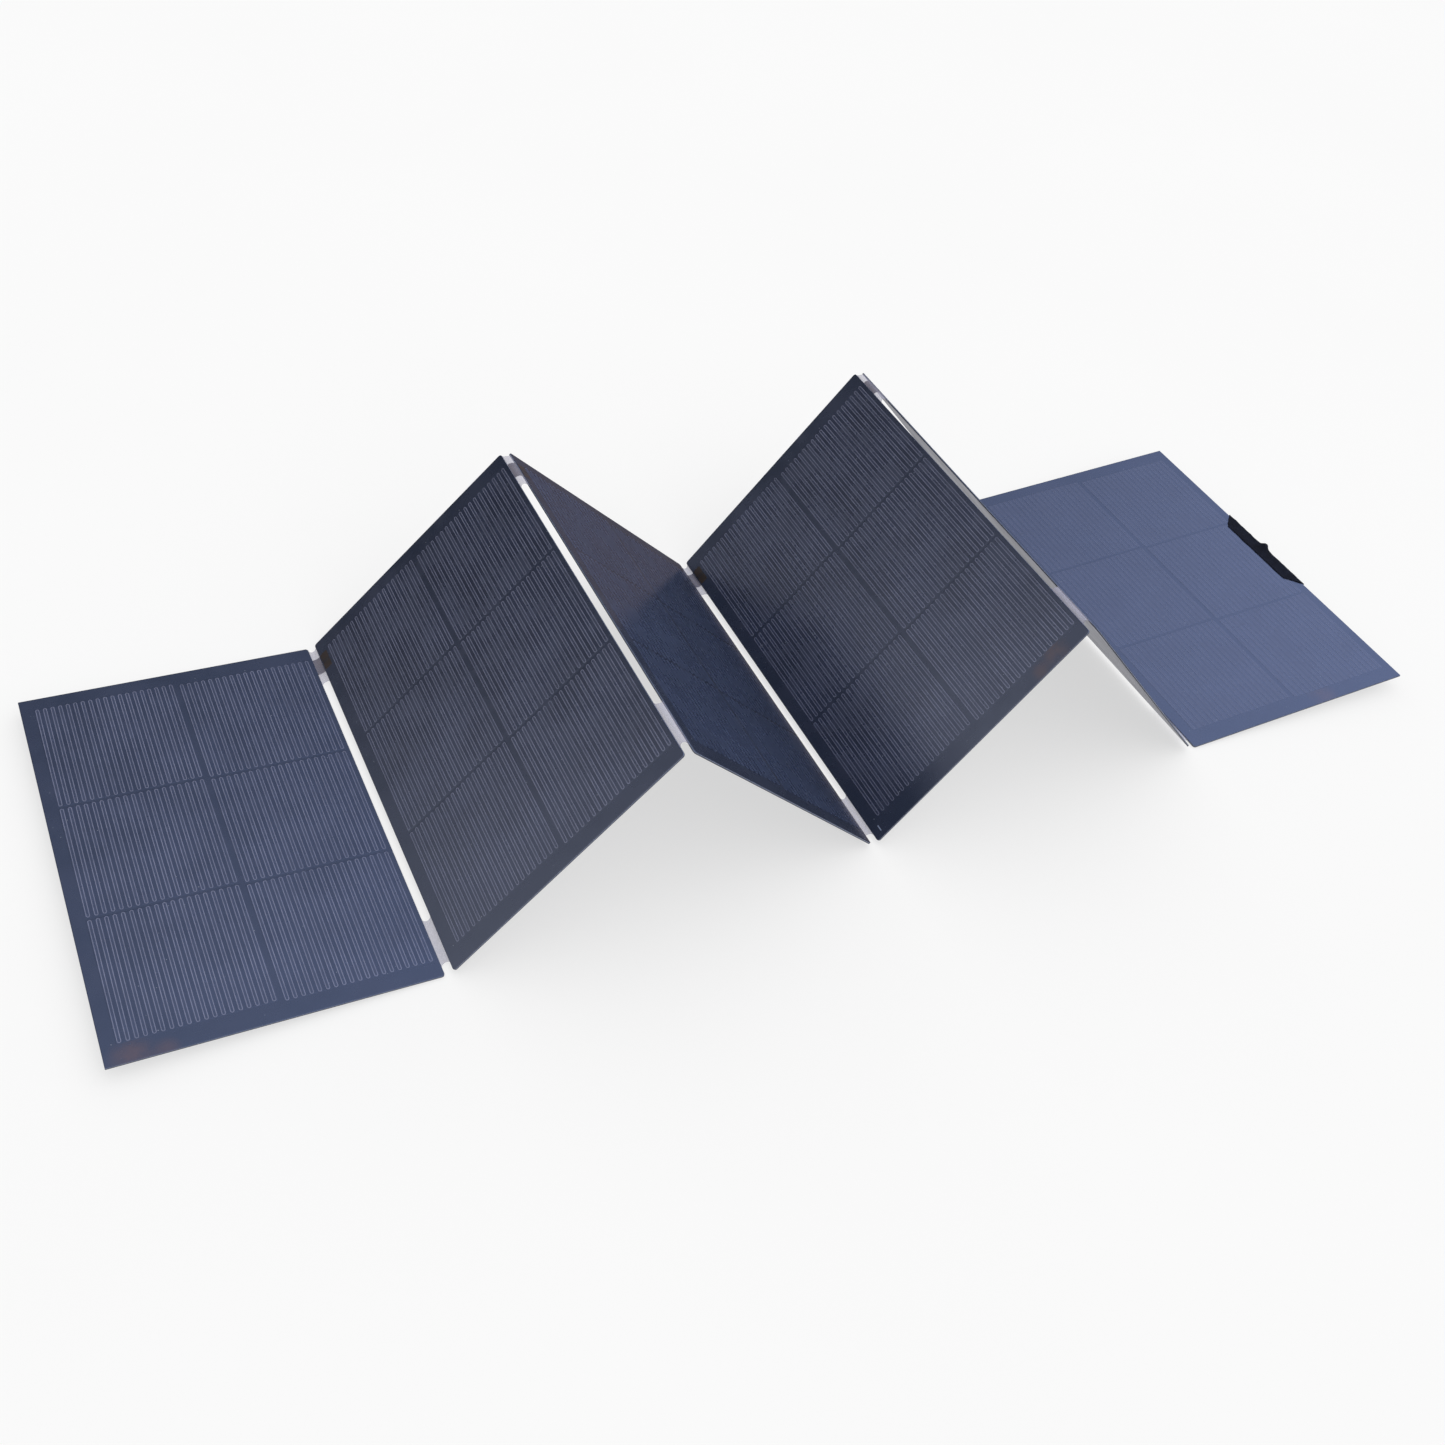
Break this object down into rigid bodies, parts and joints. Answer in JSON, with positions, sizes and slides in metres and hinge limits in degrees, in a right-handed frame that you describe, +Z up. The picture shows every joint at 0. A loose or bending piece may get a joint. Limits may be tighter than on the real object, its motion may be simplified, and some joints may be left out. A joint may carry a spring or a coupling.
{
  "type": "folding solar panel",
  "caption": "Thin laminated solar panel of flat leaves joined by creased film hinges, standing half folded as a zig-zag; folds flat into a stack or opens out flat.",
  "frame": {"origin": "middle of the bottom of the whole object as it stands half folded", "axes": "+X along the row of leaves towards the leaf with the output terminals, +Y along the creases towards the side with the bus ribbon, +Z up"},
  "size_m": [0.7386, 0.24, 0.119],
  "materials": {
    "front_film": "clear glossy film over dark blue cells",
    "back_film": "satin dark grey film",
    "cell": "dark blue thin-film cells with fine paired grid lines",
    "hinge_film": "milky clear film",
    "copper": "dull tarnished copper ribbon",
    "cloth_tape": "matt black cloth tape"
  },
  "bodies": {
    "leaf_1": {"back_film_1": "back_film", "front_film_1": "front_film", "cell_strip_1_left": "cell", "cell_strip_1_right": "cell", "cell_link_1": "copper", "bus_ribbon_1": "copper", "hinge_1_far_film_left": "hinge_film", "hinge_1_near_film_left": "hinge_film"},
    "leaf_2": {"back_film_2": "back_film", "front_film_2": "front_film", "cell_strip_2_left": "cell", "cell_strip_2_right": "cell", "cell_link_2": "copper", "bus_ribbon_2": "copper", "hinge_1_far_film_right": "hinge_film", "hinge_1_near_film_right": "hinge_film", "hinge_2_far_film_left": "hinge_film", "hinge_2_near_film_left": "hinge_film"},
    "leaf_3": {"back_film_3": "back_film", "front_film_3": "front_film", "cell_strip_3_left": "cell", "cell_strip_3_right": "cell", "cell_link_3": "copper", "bus_ribbon_3": "copper", "hinge_2_far_film_right": "hinge_film", "hinge_2_near_film_right": "hinge_film", "hinge_3_far_film_left": "hinge_film", "hinge_3_near_film_left": "hinge_film"},
    "leaf_4": {"back_film_4": "back_film", "front_film_4": "front_film", "cell_strip_4_left": "cell", "cell_strip_4_right": "cell", "cell_link_4": "copper", "bus_ribbon_4": "copper", "hinge_3_far_film_right": "hinge_film", "hinge_3_near_film_right": "hinge_film", "hinge_4_far_film_left": "hinge_film", "hinge_4_near_film_left": "hinge_film"},
    "leaf_5": {"back_film_5": "back_film", "front_film_5": "front_film", "cell_strip_5_left": "cell", "cell_strip_5_right": "cell", "cell_link_5": "copper", "bus_ribbon_5": "copper", "hinge_4_far_film_right": "hinge_film", "hinge_4_near_film_right": "hinge_film", "hinge_5_far_film_left": "hinge_film", "hinge_5_near_film_left": "hinge_film"},
    "leaf_6": {"back_film_6": "back_film", "front_film_6": "front_film", "cell_strip_6_left": "cell", "cell_strip_6_right": "cell", "cell_link_6": "copper", "bus_ribbon_6": "copper", "hinge_5_far_film_right": "hinge_film", "hinge_5_near_film_right": "hinge_film", "output_terminal_positive": "copper", "output_terminal_negative": "copper", "edge_tape": "cloth_tape"}
  },
  "joints": [
    {"name": "crease_1", "type": "hinge", "parent": "leaf_1", "child": "leaf_2", "pos_m": [-0.21685, 0, 0.00188], "axis": [0, -1, 0], "range_deg": [-54.6, 130.4]},
    {"name": "crease_2", "type": "hinge", "parent": "leaf_2", "child": "leaf_3", "pos_m": [-0.10342, 0, 0.10755], "axis": [0, 1, 0], "range_deg": [-95.72, 89.28]},
    {"name": "crease_3", "type": "hinge", "parent": "leaf_3", "child": "leaf_4", "pos_m": [0.01, 0, 0.00188], "axis": [0, -1, 0], "range_deg": [-101.34, 83.66]},
    {"name": "crease_4", "type": "hinge", "parent": "leaf_4", "child": "leaf_5", "pos_m": [0.11253, 0, 0.11815], "axis": [0, 1, 0], "range_deg": [-106.96, 78.04]},
    {"name": "crease_5", "type": "hinge", "parent": "leaf_5", "child": "leaf_6", "pos_m": [0.21506, 0, 0.00188], "axis": [0, -1, 0], "range_deg": [-60.65, 124.35]}
  ]
}
